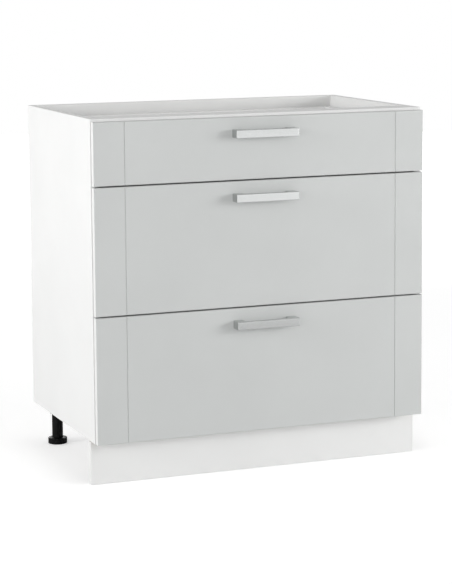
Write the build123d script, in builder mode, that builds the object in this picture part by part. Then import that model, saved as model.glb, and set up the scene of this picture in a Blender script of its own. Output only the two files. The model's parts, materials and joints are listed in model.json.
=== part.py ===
from build123d import *
import os

os.makedirs("parts", exist_ok=True)

# Base cabinet with three drawers, in millimetres.
# +Z is up, -Y is the front, and the origin is on the floor under the middle of the whole unit.

# ---------------------------------------------------------------- driving sizes: carcass
cabinet_width = 800.0
carcass_height = 720.0  # without the legs
board = 16.0  # laminated chipboard
back_sheet = 3.0
back_sheet_inset = 1.0  # back sheet's edges behind the carcass outline
front_rail_depth = 60.0
rear_rail_height = 80.0
worktop_hole_radius = 2.5
worktop_hole_spacing = 500.0
worktop_hole_setback = 40.0  # behind the carcass's front edge

# ---------------------------------------------------------------- driving sizes: fronts and handles
top_front_height = 140.0
front_thickness = 16.0
front_gap = 3.0  # between two fronts
top_front_gap = 6.0  # from the top front to the carcass's top edge
front_reveal = 1.5  # side of the carcass that stays bare beside a front
bumper_gap = 2.0  # between the fronts and the carcass
edge_round = 2.0
groove_inset = 71.0  # middle of a groove, from the front's edge
groove_width = 3.0
groove_depth = 1.3
handle_length = 150.0
handle_height = 18.5
handle_projection = 28.0
handle_bar = 7.0  # thickness of the grip
handle_round = 1.0
handle_inner_round = 3.0
handle_hole_spacing = 128.0
handle_drop = 36.0  # middle of the handle below the front's top edge

# ---------------------------------------------------------------- driving sizes: drawer boxes
box_rise = 32.0  # box bottom above the front's bottom edge
box_drop = 20.0  # box top below the front's top edge
box_rear_gap = 16.0  # from a closed box to the rear rail
sheet = 3.0  # drawer bottom
sheet_rise = 10.0  # drawer bottom above the box's lower edge
sheet_bite = 6.0  # drawer bottom's edge inside its groove
groove_clearance = 0.1
corner_screw_rise = 20.0
corner_screw_drop = 14.0
front_screw_inset = 105.0  # from the box's side
front_screw_margin = 25.0  # from the box's lower and upper edge

# ---------------------------------------------------------------- driving sizes: ball-bearing slides
slide_length = 450.0
slide_height = 45.0
slide_thickness = 12.7
slide_metal = 1.2
slide_setback = 4.0  # channels' ends behind the box's front end
slide_rise = 42.0  # middle of the slide above the box's lower edge
outer_flange = 9.5  # reach of the fixed channel's flanges
mid_web_gap = 1.3  # fixed web to middle web
mid_flange = 8.5  # reach of the middle channel's flanges
inner_flange = 7.7  # reach of the drawer channel's flanges
lip = 1.4  # turned edge of a flange
web_lip = 0.9  # turned edge behind the middle channel's web
ball_radius = 1.6
ball_clearance = 0.05
ball_pitch = 30.0
cage_strip = 0.8
cage_clearance = 0.25
cage_end_margin = 7.5  # cage's ends from the channel ends at full travel
outer_screw_margin = 37.0  # first screw of a fixed channel, from its front end
inner_screw_margin = 45.0  # first and last screw of a drawer channel, from its ends
slide_hole_pitch = 160.0

# ---------------------------------------------------------------- driving sizes: legs and plinth
leg_height = 100.0
leg_inset = 50.0  # from the carcass's outer side
front_leg_setback = 82.0  # from the carcass's front edge
rear_leg_inset = 30.0  # from the side panels' rear edge
socket_radius = 30.0
socket_plate = 4.0
socket_collar = 4.8
socket_collar_height = 22.0
socket_screw_offset = 17.0
post_radius = 13.2
post_clearance = 0.1
foot_radius = 23.0
foot_thickness = 14.0
foot_round = 1.5
foot_gap = 0.3
stem_radius = 9.0
stem_height = 56.0
stem_clearance = 0.15
stem_headroom = 5.0
plinth_recess = 30.0  # from the carcass's front edge
plinth_clearance = 2.0  # under the carcass
clip_plate = 3.0
clip_width = 40.0
clip_plate_height = 30.0
clip_ring = 2.6
clip_height = 20.0
clip_arm = 14.0
clip_mid_height = 50.0
clip_opening = 20.0  # mouth of the snap ring

# ---------------------------------------------------------------- driving sizes: fasteners
fit = 0.05  # all round a screw, bolt or cam
cam_radius = 7.5
cam_length = 12.5
cam_setback = 34.0  # middle of the cam from the panel's end
cam_mouth_radius = 3.8
cam_slot = 1.4
cam_slot_depth = 2.0
bolt_thread_radius = 2.5
bolt_thread_length = 11.0
bolt_shaft_radius = 3.0
bolt_shaft_length = 24.0
bolt_neck_radius = 1.9
bolt_head_radius = 3.2
bolt_head_length = 4.0
bolt_tunnel_radius = 4.0
dowel_radius = 4.0
dowel_in_side = 10.0
dowel_in_panel = 20.0
dowel_end_gap = 0.5
dowel_chamfer = 1.0
bottom_cam_station = 32.0  # behind the carcass's front edge
rear_cam_lead = 62.0  # rear cam of the bottom panel, ahead of the rear legs
bottom_cam_to_dowel = 20.0
rail_cam_station = 20.0
rail_dowel_station = 44.0
rear_cam_drop = 24.0
rear_dowel_drop = 56.0
small_screw_radius = 1.75
small_screw_head = 3.2
small_screw_length = 15.0
wood_screw_radius = 2.0
wood_screw_head = 4.0
wood_screw_length = 28.0
screw_head_rim = 0.2
machine_screw_radius = 2.0
machine_screw_length = 40.0
machine_screw_head = 4.0
machine_screw_head_height = 2.6
machine_hole_radius = 2.5
machine_thread_runout = 1.0
nail_radius = 0.8
nail_length = 19.0
nail_head_radius = 2.25
nail_head_height = 0.6
nail_margin = 40.0
side_nail_count = 6
cross_nail_count = 3
cross_nail_spacing = 240.0
pad_radius = 4.0
pad_thickness = 1.8
pad_drop = 20.0  # from a front's top edge

# ---------------------------------------------------------------- places worked out from the sizes
half_width = cabinet_width / 2
inner_x = half_width - board
z_low = leg_height
z_top = leg_height + carcass_height
side_depth = slide_length - bumper_gap + box_rear_gap + board
total_depth = handle_projection + front_thickness + bumper_gap + side_depth + back_sheet
y_handle = -total_depth / 2
y_front = y_handle + handle_projection
y_front_rear = y_front + front_thickness
y_carcass = y_front_rear + bumper_gap
y_side_rear = y_carcass + side_depth
y_back = y_side_rear + back_sheet

y_rail_rear = y_carcass + front_rail_depth
y_rear_rail = y_side_rear - board
z_rail = z_top - board
z_panel_mid = z_low + board / 2
z_rail_mid = z_rail + board / 2
y_rear_rail_mid = y_rear_rail + board / 2

front_half = half_width - front_reveal
low_front_height = (carcass_height - top_front_gap - top_front_height - 2 * front_gap) / 2
drawer_names = ("bottom", "middle", "top")
front_heights = (low_front_height, low_front_height, top_front_height)
front_low = {}
front_high = {}
z_next = z_low
for name, height in zip(drawer_names, front_heights):
    front_low[name] = z_next
    front_high[name] = z_next + height
    z_next += height + front_gap

box_half = inner_x - slide_thickness
box_inner = box_half - board
y_box_rear = y_front_rear + slide_length
y_box_in_front = y_front_rear + board
y_box_in_rear = y_box_rear - board
box_low = {name: front_low[name] + box_rise for name in drawer_names}
box_high = {name: front_high[name] - box_drop for name in drawer_names}
slide_z = {name: box_low[name] + slide_rise for name in drawer_names}
y_slide = y_front_rear + slide_setback
handle_thread_depth = machine_screw_length - board - front_thickness + machine_thread_runout
outer_screw_stations = [outer_screw_margin + number * slide_hole_pitch for number in range(3)]
inner_screw_stations = [
    inner_screw_margin,
    inner_screw_margin + slide_hole_pitch,
    slide_length - inner_screw_margin,
]

# slide sections: u runs from the side panel towards the drawer, v is up from the slide's middle
outer_v = slide_height / 2
mid_v = outer_v - slide_metal - 2 * (ball_radius + ball_clearance)
inner_v = mid_v - slide_metal - 2 * (ball_radius + ball_clearance)
outer_ball_v = mid_v + ball_radius + ball_clearance
inner_ball_v = inner_v + ball_radius + ball_clearance
mid_u = slide_metal + mid_web_gap
mid_u_end = mid_u + mid_flange
inner_u = slide_thickness - inner_flange
inner_web_u = slide_thickness - slide_metal
outer_cage_u = slide_metal + cage_clearance
outer_cage_end = outer_flange - slide_metal - 2 * cage_clearance
outer_ball_u = (mid_u + slide_metal + outer_flange - slide_metal) / 2
inner_cage_u = mid_u + slide_metal + cage_clearance
inner_cage_end = mid_u_end - slide_metal - cage_clearance
inner_ball_u = (inner_u + slide_metal + mid_u_end - slide_metal) / 2
cage_length = slide_length / 2 - 2 * cage_end_margin
y_cage = y_slide + slide_length / 4 + cage_end_margin
balls_in_row = int(cage_length // ball_pitch)
ball_start = (cage_length - (balls_in_row - 1) * ball_pitch) / 2

leg_x = half_width - leg_inset
y_front_leg = y_carcass + front_leg_setback
y_rear_leg = y_side_rear - rear_leg_inset
leg_points = [(x, y) for x in (-leg_x, leg_x) for y in (y_front_leg, y_rear_leg)]
z_socket = leg_height - socket_plate
y_plinth = y_carcass + plinth_recess
y_plinth_rear = y_plinth + board

y_front_cam = y_carcass + bottom_cam_station
y_rear_cam = y_rear_leg - rear_cam_lead
bottom_cam_points = [(y_front_cam, z_panel_mid), (y_rear_cam, z_panel_mid)]
bottom_dowel_points = [
    (y_front_cam + bottom_cam_to_dowel, z_panel_mid),
    (y_rear_cam - bottom_cam_to_dowel, z_panel_mid),
]
rail_cam_points = [(y_carcass + rail_cam_station, z_rail_mid)]
rail_dowel_points = [(y_carcass + rail_dowel_station, z_rail_mid)]
rear_cam_points = [(y_rear_rail_mid, z_top - rear_cam_drop)]
rear_dowel_points = [(y_rear_rail_mid, z_top - rear_dowel_drop)]
cam_points = bottom_cam_points + rail_cam_points + rear_cam_points
dowel_points = bottom_dowel_points + rail_dowel_points + rear_dowel_points

side_nail_step = (carcass_height - 2 * nail_margin) / (side_nail_count - 1)
nail_points = [
    (side * (half_width - board / 2), z_low + nail_margin + number * side_nail_step)
    for side in (-1, 1)
    for number in range(side_nail_count)
]
nail_points += [
    ((number - (cross_nail_count - 1) / 2) * cross_nail_spacing, z)
    for z in (z_panel_mid, z_top - rear_rail_height / 2)
    for number in range(cross_nail_count)
]


# ---------------------------------------------------------------- helpers
def block(x, y, z, mode=Mode.ADD):
    """A box between two values of x, of y and of z, in the part that is open."""
    with Locations(((x[0] + x[1]) / 2, (y[0] + y[1]) / 2, (z[0] + z[1]) / 2)):
        Box(x[1] - x[0], y[1] - y[0], z[1] - z[0], mode=mode)


def strip(u, v):
    """A rectangle between two values of u and of v, in the sketch that is open."""
    with Locations(((u[0] + u[1]) / 2, (v[0] + v[1]) / 2)):
        Rectangle(abs(u[1] - u[0]), abs(v[1] - v[0]))


def facing(point, outward):
    """A plane on a surface: its z axis points out of the material, and holes go the other way."""
    return Plane(origin=point, z_dir=outward)


def countersunk_screw(radius, head_radius, length, margin=0.0):
    """A screw along -Z with its head flush with the origin; with a margin it is the screw's hole."""
    head_top = margin if margin else -fit
    rim = -fit - screw_head_rim
    neck = rim - (head_radius - radius)
    tip = radius
    with BuildPart() as screw:
        with BuildSketch(Plane.XZ):
            with BuildLine():
                Polyline(
                    (0, head_top),
                    (head_radius + margin, head_top),
                    (head_radius + margin, rim),
                    (radius + margin, neck),
                    (radius + margin, -length + tip),
                    (0, -length - margin),
                    close=True,
                )
            make_face()
        revolve(axis=Axis.Z)
    return screw.part


def slide_plane(side, y, z):
    """Plane of a slide's section: x runs from the side panel to the drawer, y is up."""
    return Plane(origin=(side * inner_x, y, z), x_dir=(-side, 0, 0), z_dir=(0, side, 0))


small_screw = countersunk_screw(small_screw_radius, small_screw_head, small_screw_length)
small_screw_hole = countersunk_screw(small_screw_radius, small_screw_head, small_screw_length, fit)
wood_screw = countersunk_screw(wood_screw_radius, wood_screw_head, wood_screw_length)
wood_screw_hole = countersunk_screw(wood_screw_radius, wood_screw_head, wood_screw_length, fit)

with BuildPart() as nail:
    Cylinder(nail_radius, nail_length, align=(Align.CENTER, Align.CENTER, Align.MAX))
    Cylinder(nail_head_radius, nail_head_height, align=(Align.CENTER, Align.CENTER, Align.MAX))
with BuildPart() as nail_hole:
    Cylinder(nail_radius + fit, nail_length + fit, align=(Align.CENTER, Align.CENTER, Align.MAX))
    Cylinder(
        nail_head_radius + fit,
        nail_head_height + fit,
        align=(Align.CENTER, Align.CENTER, Align.MAX),
    )

# where screws go, as planes whose z axis points back out of the wood
outer_slide_screws = {
    side: [
        facing((side * (inner_x - slide_metal), y_slide + station, slide_z[name]), (-side, 0, 0))
        for name in drawer_names
        for station in outer_screw_stations
    ]
    for side in (-1, 1)
}
socket_screws = [
    facing((x + dx, y + dy, z_socket), (0, 0, -1))
    for x, y in leg_points
    for dx in (-socket_screw_offset, socket_screw_offset)
    for dy in (-socket_screw_offset, socket_screw_offset)
]
nail_planes = [facing((x, y_back, z), (0, 1, 0)) for x, z in nail_points]

# ---------------------------------------------------------------- side panels
for side, side_name in ((-1, "left"), (1, "right")):
    with BuildPart() as side_panel:
        x_pair = sorted((side * inner_x, side * half_width))
        block(x_pair, (y_carcass, y_side_rear), (z_low, z_top))
        with Locations(*[facing((side * inner_x, y, z), (-side, 0, 0)) for y, z in cam_points]):
            Hole(bolt_thread_radius + fit, bolt_thread_length + fit)
        with Locations(*[facing((side * inner_x, y, z), (-side, 0, 0)) for y, z in dowel_points]):
            Hole(dowel_radius + fit, dowel_in_side + dowel_end_gap)
        with Locations(*outer_slide_screws[side]):
            add(small_screw_hole, mode=Mode.SUBTRACT)
        with Locations(*nail_planes):
            add(nail_hole.part, mode=Mode.SUBTRACT)
    side_panel.part.label = f"side_panel_{side_name}"
    export_step(side_panel.part, f"parts/side_panel_{side_name}.step")

# ---------------------------------------------------------------- bottom panel and rails
with BuildPart() as bottom_panel:
    block((-inner_x, inner_x), (y_carcass, y_side_rear), (z_low, z_low + board))
    for side in (-1, 1):
        for y, z in bottom_cam_points:
            with Locations(facing((side * (inner_x - cam_setback), y, z_low), (0, 0, -1))):
                Hole(cam_radius + fit, cam_length + fit)
            with Locations(facing((side * inner_x, y, z), (side, 0, 0))):
                Hole(bolt_tunnel_radius, cam_setback - cam_radius / 2)
        for y, z in bottom_dowel_points:
            with Locations(facing((side * inner_x, y, z), (side, 0, 0))):
                Hole(dowel_radius + fit, dowel_in_panel + dowel_end_gap)
    with Locations(*socket_screws):
        add(small_screw_hole, mode=Mode.SUBTRACT)
    with Locations(*nail_planes):
        add(nail_hole.part, mode=Mode.SUBTRACT)
bottom_panel.part.label = "bottom_panel"
export_step(bottom_panel.part, "parts/bottom_panel.step")

with BuildPart() as top_rail_front:
    block((-inner_x, inner_x), (y_carcass, y_rail_rear), (z_rail, z_top))
    for side in (-1, 1):
        for y, z in rail_cam_points:
            with Locations(facing((side * (inner_x - cam_setback), y, z_rail), (0, 0, -1))):
                Hole(cam_radius + fit, cam_length + fit)
            with Locations(facing((side * inner_x, y, z), (side, 0, 0))):
                Hole(bolt_tunnel_radius, cam_setback - cam_radius / 2)
        for y, z in rail_dowel_points:
            with Locations(facing((side * inner_x, y, z), (side, 0, 0))):
                Hole(dowel_radius + fit, dowel_in_panel + dowel_end_gap)
    with Locations(facing((0, y_carcass + worktop_hole_setback, z_top), (0, 0, 1))):
        with GridLocations(worktop_hole_spacing, 0, 2, 1):
            Hole(worktop_hole_radius)
top_rail_front.part.label = "top_rail_front"
export_step(top_rail_front.part, "parts/top_rail_front.step")

with BuildPart() as top_rail_rear:
    block((-inner_x, inner_x), (y_rear_rail, y_side_rear), (z_top - rear_rail_height, z_top))
    for side in (-1, 1):
        for y, z in rear_cam_points:
            with Locations(facing((side * (inner_x - cam_setback), y_side_rear, z), (0, 1, 0))):
                Hole(cam_radius + fit, cam_length + fit)
            with Locations(facing((side * inner_x, y, z), (side, 0, 0))):
                Hole(bolt_tunnel_radius, cam_setback - cam_radius / 2)
        for y, z in rear_dowel_points:
            with Locations(facing((side * inner_x, y, z), (side, 0, 0))):
                Hole(dowel_radius + fit, dowel_in_panel + dowel_end_gap)
    with Locations(*nail_planes):
        add(nail_hole.part, mode=Mode.SUBTRACT)
top_rail_rear.part.label = "top_rail_rear"
export_step(top_rail_rear.part, "parts/top_rail_rear.step")

# ---------------------------------------------------------------- back sheet and its nails
with BuildPart() as back_panel:
    edge = half_width - back_sheet_inset
    block((-edge, edge), (y_side_rear, y_back), (z_low + back_sheet_inset, z_top - back_sheet_inset))
    with Locations(*nail_planes):
        add(nail_hole.part, mode=Mode.SUBTRACT)
back_panel.part.label = "back_panel"
export_step(back_panel.part, "parts/back_panel.step")

with BuildPart() as back_nails:
    with Locations(*nail_planes):
        add(nail.part)
back_nails.part.label = "back_nails"
export_step(back_nails.part, "parts/back_nails.step")

# ---------------------------------------------------------------- cams, bolts and dowels
with BuildPart() as cam:  # z runs from its face into the panel, x towards the bolt
    Cylinder(cam_radius, cam_length, align=(Align.CENTER, Align.CENTER, Align.MIN))
    with Locations(Plane(origin=(cam_radius, 0, board / 2), z_dir=(1, 0, 0))):
        Hole(cam_mouth_radius, cam_radius + bolt_head_length)
    for slot_angle in (0, 90):
        with Locations(Location((0, 0, 0), (0, 0, slot_angle))):
            Box(cam_radius, cam_slot, 2 * cam_slot_depth, mode=Mode.SUBTRACT)

with BuildPart() as cam_bolt:  # z runs into the side panel, 0 is the panel's end
    with BuildSketch(Plane.XZ):
        with BuildLine():
            head_end = -cam_setback - bolt_head_length / 2
            Polyline(
                (0, bolt_thread_length),
                (bolt_thread_radius, bolt_thread_length),
                (bolt_thread_radius, 0),
                (bolt_shaft_radius, 0),
                (bolt_shaft_radius, -bolt_shaft_length),
                (bolt_neck_radius, -bolt_shaft_length),
                (bolt_neck_radius, head_end + bolt_head_length),
                (bolt_head_radius, head_end + bolt_head_length),
                (bolt_head_radius, head_end),
                (0, head_end),
                close=True,
            )
        make_face()
    revolve(axis=Axis.Z)

with BuildPart() as dowel:  # z runs into the side panel, 0 is the panel's end
    with Locations((0, 0, (dowel_in_side - dowel_in_panel) / 2)):
        Cylinder(dowel_radius, dowel_in_side + dowel_in_panel)
    chamfer(dowel.edges().filter_by(GeomType.CIRCLE), dowel_chamfer)

cam_places = []
for side in (-1, 1):
    x = side * (inner_x - cam_setback)
    for points, z_face in ((bottom_cam_points, z_low), (rail_cam_points, z_rail)):
        for y, z in points:
            cam_places.append(Plane(origin=(x, y, z_face), x_dir=(side, 0, 0), z_dir=(0, 0, 1)))
    for y, z in rear_cam_points:
        cam_places.append(Plane(origin=(x, y_side_rear, z), x_dir=(side, 0, 0), z_dir=(0, -1, 0)))

with BuildPart() as cam_locks:
    with Locations(*cam_places):
        add(cam.part)
cam_locks.part.label = "cam_locks"
export_step(cam_locks.part, "parts/cam_locks.step")

with BuildPart() as cam_bolts:
    for side in (-1, 1):
        with Locations(*[facing((side * inner_x, y, z), (side, 0, 0)) for y, z in cam_points]):
            add(cam_bolt.part)
cam_bolts.part.label = "cam_bolts"
export_step(cam_bolts.part, "parts/cam_bolts.step")

with BuildPart() as wood_dowels:
    for side in (-1, 1):
        with Locations(*[facing((side * inner_x, y, z), (side, 0, 0)) for y, z in dowel_points]):
            add(dowel.part)
wood_dowels.part.label = "wood_dowels"
export_step(wood_dowels.part, "parts/wood_dowels.step")

with BuildPart() as carcass_screws:
    with Locations(*outer_slide_screws[-1], *outer_slide_screws[1], *socket_screws):
        add(small_screw)
carcass_screws.part.label = "carcass_screws"
export_step(carcass_screws.part, "parts/carcass_screws.step")

# ---------------------------------------------------------------- stop pads on the carcass's front edges
pad_x = half_width - board / 2
pad_planes = [
    facing((side * pad_x, y_carcass, front_high[name] - pad_drop), (0, -1, 0))
    for side in (-1, 1)
    for name in drawer_names
]
with BuildPart() as bumper_pads:
    with Locations(*pad_planes):
        Cylinder(pad_radius, pad_thickness, align=(Align.CENTER, Align.CENTER, Align.MIN))
bumper_pads.part.label = "bumper_pads"
export_step(bumper_pads.part, "parts/bumper_pads.step")

# ---------------------------------------------------------------- fixed slide channels
with BuildPart() as slide_outer:
    for name in drawer_names:
        for side in (-1, 1):
            with BuildSketch(slide_plane(side, y_slide, slide_z[name])):
                strip((0, slide_metal), (-outer_v, outer_v))
                for up in (-1, 1):
                    strip((0, outer_flange), (up * (outer_v - slide_metal), up * outer_v))
                    strip(
                        (outer_flange - slide_metal, outer_flange),
                        (up * (outer_v - slide_metal - lip), up * outer_v),
                    )
            extrude(amount=side * slide_length)
    with Locations(*outer_slide_screws[-1], *outer_slide_screws[1]):
        add(small_screw_hole, mode=Mode.SUBTRACT)
slide_outer.part.label = "slide_outer"
export_step(slide_outer.part, "parts/slide_outer.step")

# ---------------------------------------------------------------- plinth, clips and legs
with BuildPart() as plinth_board:
    block((-half_width, half_width), (y_plinth, y_plinth_rear), (0, z_low - plinth_clearance))
plinth_board.part.label = "plinth_board"
export_step(plinth_board.part, "parts/plinth_board.step")

with BuildPart() as plinth_clips:
    ring_inner = post_radius + post_clearance
    ring_outer = ring_inner + clip_ring
    for x in (-leg_x, leg_x):
        block(
            (x - clip_width / 2, x + clip_width / 2),
            (y_plinth_rear, y_plinth_rear + clip_plate),
            (clip_mid_height - clip_plate_height / 2, clip_mid_height + clip_plate_height / 2),
        )
        with BuildSketch(Plane.XY.offset(clip_mid_height - clip_height / 2)):
            arm_end = y_front_leg - ring_inner
            with Locations((x, (y_plinth_rear + arm_end) / 2)):
                Rectangle(clip_arm, arm_end - y_plinth_rear)
            with Locations((x, y_front_leg)):
                Circle(ring_outer)
                Circle(ring_inner, mode=Mode.SUBTRACT)
            with Locations((x, y_front_leg + ring_outer)):
                Rectangle(clip_opening, ring_outer, mode=Mode.SUBTRACT)
        extrude(amount=clip_height)
plinth_clips.part.label = "plinth_clips"
export_step(plinth_clips.part, "parts/plinth_clips.step")

with BuildPart() as leg_sockets:
    collar_inner = post_radius + post_clearance
    for x, y in leg_points:
        with BuildSketch(Plane.XY.offset(z_socket)):
            with Locations((x, y)):
                Circle(socket_radius)
        extrude(amount=socket_plate)
        with BuildSketch(Plane.XY.offset(z_socket - socket_collar_height)):
            with Locations((x, y)):
                Circle(collar_inner + socket_collar)
                Circle(collar_inner, mode=Mode.SUBTRACT)
        extrude(amount=socket_collar_height)
    with Locations(*socket_screws):
        add(small_screw_hole, mode=Mode.SUBTRACT)
leg_sockets.part.label = "leg_sockets"
export_step(leg_sockets.part, "parts/leg_sockets.step")

with BuildPart() as leg_posts:
    bore_top = foot_thickness + stem_height + stem_headroom
    for x, y in leg_points:
        with BuildSketch(Plane.XY.offset(foot_thickness + foot_gap)):
            with Locations((x, y)):
                Circle(post_radius)
        extrude(amount=z_socket - foot_thickness - foot_gap)
        with BuildSketch(Plane.XY.offset(foot_thickness + foot_gap)):
            with Locations((x, y)):
                Circle(stem_radius + stem_clearance)
        extrude(amount=bore_top - foot_thickness - foot_gap, mode=Mode.SUBTRACT)
leg_posts.part.label = "leg_posts"
export_step(leg_posts.part, "parts/leg_posts.step")

for x, side_name in ((-leg_x, "left"), (leg_x, "right")):
    for y, end_name in ((y_front_leg, "front"), (y_rear_leg, "rear")):
        with BuildPart() as leg_foot:
            with BuildSketch():
                with Locations((x, y)):
                    Circle(foot_radius)
            extrude(amount=foot_thickness)
            fillet(leg_foot.edges().filter_by(GeomType.CIRCLE).sort_by(Axis.Z)[-1], foot_round)
            with BuildSketch(Plane.XY.offset(foot_thickness)):
                with Locations((x, y)):
                    Circle(stem_radius)
            extrude(amount=stem_height)
        leg_foot.part.label = f"leg_foot_{end_name}_{side_name}"
        export_step(leg_foot.part, f"parts/leg_foot_{end_name}_{side_name}.step")

# ---------------------------------------------------------------- drawers
for name in drawer_names:
    z_handle = front_high[name] - handle_drop
    z_sheet = box_low[name] + sheet_rise
    handle_screw_planes = [
        facing((side * handle_hole_spacing / 2, y_box_in_front, z_handle), (0, 1, 0))
        for side in (-1, 1)
    ]
    handle_thread_planes = [
        facing((side * handle_hole_spacing / 2, y_front, z_handle), (0, 1, 0)) for side in (-1, 1)
    ]
    front_screw_planes = [
        facing((side * (box_half - front_screw_inset), y_box_in_front, z), (0, 1, 0))
        for side in (-1, 1)
        for z in (box_low[name] + front_screw_margin, box_high[name] - front_screw_margin)
    ]
    corner_screw_planes = {
        side: [
            facing((side * box_half, y, z), (side, 0, 0))
            for y in (y_front_rear + board / 2, y_box_rear - board / 2)
            for z in (box_low[name] + corner_screw_rise, box_high[name] - corner_screw_drop)
        ]
        for side in (-1, 1)
    }
    inner_slide_screws = {
        side: [
            facing(
                (side * (inner_x - inner_web_u), y_slide + station, slide_z[name]), (side, 0, 0)
            )
            for station in inner_screw_stations
        ]
        for side in (-1, 1)
    }

    with BuildPart() as front:
        block((-front_half, front_half), (y_front, y_front_rear), (front_low[name], front_high[name]))
        fillet(front.faces().sort_by(Axis.Y)[0].edges(), edge_round)
        with BuildSketch(Plane.XY.offset(front_low[name])):
            for side in (-1, 1):
                x = side * (front_half - groove_inset)
                with BuildLine():
                    Polyline(
                        (x - groove_width / 2, y_front),
                        (x, y_front + groove_depth),
                        (x + groove_width / 2, y_front),
                        close=True,
                    )
                make_face()
        extrude(amount=front_high[name] - front_low[name], mode=Mode.SUBTRACT)
        with Locations(*handle_screw_planes):
            Hole(machine_hole_radius)
        with Locations(*front_screw_planes):
            add(wood_screw_hole, mode=Mode.SUBTRACT)
    front.part.label = f"front_{name}"
    export_step(front.part, f"parts/front_{name}.step")

    with BuildPart() as handle:
        grip = handle_length / 2
        leg_width = handle_length - handle_hole_spacing
        with BuildSketch(Plane.XY.offset(z_handle - handle_height / 2)):
            strip((-grip, grip), (y_handle, y_front))
        extrude(amount=handle_height)
        with BuildSketch(Plane.XY.offset(z_handle - handle_height / 2)) as finger_gap:
            strip((leg_width - grip, grip - leg_width), (y_handle + handle_bar, y_front + handle_bar))
            fillet(finger_gap.vertices().group_by(Axis.Y)[0], handle_inner_round)
        extrude(amount=handle_height, mode=Mode.SUBTRACT)
        fillet(handle.faces().sort_by(Axis.Y)[0].edges(), handle_round)
        with Locations(*handle_thread_planes):
            Hole(machine_screw_radius + fit, handle_thread_depth)
    handle.part.label = f"handle_{name}"
    export_step(handle.part, f"parts/handle_{name}.step")

    with BuildPart() as handle_screws:
        with Locations(*handle_screw_planes):
            Cylinder(
                machine_screw_radius,
                machine_screw_length,
                align=(Align.CENTER, Align.CENTER, Align.MAX),
            )
            Cylinder(
                machine_screw_head,
                machine_screw_head_height,
                align=(Align.CENTER, Align.CENTER, Align.MIN),
            )
    handle_screws.part.label = f"handle_screws_{name}"
    export_step(handle_screws.part, f"parts/handle_screws_{name}.step")

    for side, side_name in ((-1, "left"), (1, "right")):
        with BuildPart() as box_side:
            x_pair = sorted((side * box_inner, side * box_half))
            block(x_pair, (y_front_rear, y_box_rear), (box_low[name], box_high[name]))
            groove_x = sorted((side * box_inner, side * (box_inner + sheet_bite + groove_clearance)))
            block(
                groove_x,
                (y_box_in_front - sheet_bite - groove_clearance,
                 y_box_in_rear + sheet_bite + groove_clearance),
                (z_sheet - groove_clearance, z_sheet + sheet + groove_clearance),
                mode=Mode.SUBTRACT,
            )
            with Locations(*corner_screw_planes[side]):
                add(wood_screw_hole, mode=Mode.SUBTRACT)
            with Locations(*inner_slide_screws[side]):
                add(small_screw_hole, mode=Mode.SUBTRACT)
        box_side.part.label = f"box_side_{side_name}_{name}"
        export_step(box_side.part, f"parts/box_side_{side_name}_{name}.step")

    for end_name, y_pair, groove_y in (
        (
            "front",
            (y_front_rear, y_box_in_front),
            (y_box_in_front - sheet_bite - groove_clearance, y_box_in_front),
        ),
        (
            "back",
            (y_box_in_rear, y_box_rear),
            (y_box_in_rear, y_box_in_rear + sheet_bite + groove_clearance),
        ),
    ):
        with BuildPart() as box_end:
            block((-box_inner, box_inner), y_pair, (box_low[name], box_high[name]))
            block(
                (-box_inner, box_inner),
                groove_y,
                (z_sheet - groove_clearance, z_sheet + sheet + groove_clearance),
                mode=Mode.SUBTRACT,
            )
            with Locations(*corner_screw_planes[-1], *corner_screw_planes[1]):
                add(wood_screw_hole, mode=Mode.SUBTRACT)
            if end_name == "front":
                with Locations(*handle_screw_planes):
                    Hole(machine_hole_radius)
                with Locations(*front_screw_planes):
                    add(wood_screw_hole, mode=Mode.SUBTRACT)
        box_end.part.label = f"box_{end_name}_{name}"
        export_step(box_end.part, f"parts/box_{end_name}_{name}.step")

    with BuildPart() as box_bottom:
        sheet_half = box_inner + sheet_bite
        block(
            (-sheet_half, sheet_half),
            (y_box_in_front - sheet_bite, y_box_in_rear + sheet_bite),
            (z_sheet, z_sheet + sheet),
        )
    box_bottom.part.label = f"box_bottom_{name}"
    export_step(box_bottom.part, f"parts/box_bottom_{name}.step")

    with BuildPart() as box_screws:
        with Locations(*front_screw_planes, *corner_screw_planes[-1], *corner_screw_planes[1]):
            add(wood_screw)
        with Locations(*inner_slide_screws[-1], *inner_slide_screws[1]):
            add(small_screw)
    box_screws.part.label = f"box_screws_{name}"
    export_step(box_screws.part, f"parts/box_screws_{name}.step")

    with BuildPart() as slide_inner:
        for side in (-1, 1):
            with BuildSketch(slide_plane(side, y_slide, slide_z[name])):
                strip((inner_web_u, slide_thickness), (-inner_v, inner_v))
                for up in (-1, 1):
                    strip((inner_u, slide_thickness), (up * (inner_v - slide_metal), up * inner_v))
                    strip(
                        (inner_u, inner_u + slide_metal),
                        (up * (inner_v - slide_metal), up * (inner_v + web_lip)),
                    )
            extrude(amount=side * slide_length)
            with Locations(*inner_slide_screws[side]):
                add(small_screw_hole, mode=Mode.SUBTRACT)
    slide_inner.part.label = f"slide_inner_{name}"
    export_step(slide_inner.part, f"parts/slide_inner_{name}.step")

    with BuildPart() as slide_mid:
        for side in (-1, 1):
            with BuildSketch(slide_plane(side, y_slide, slide_z[name])):
                strip((mid_u, mid_u + slide_metal), (-mid_v - web_lip, mid_v + web_lip))
                for up in (-1, 1):
                    strip((mid_u, mid_u_end), (up * (mid_v - slide_metal), up * mid_v))
                    strip(
                        (mid_u_end - slide_metal, mid_u_end),
                        (up * (mid_v - slide_metal - lip), up * mid_v),
                    )
            extrude(amount=side * slide_length)
    slide_mid.part.label = f"slide_mid_{name}"
    export_step(slide_mid.part, f"parts/slide_mid_{name}.step")

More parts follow.
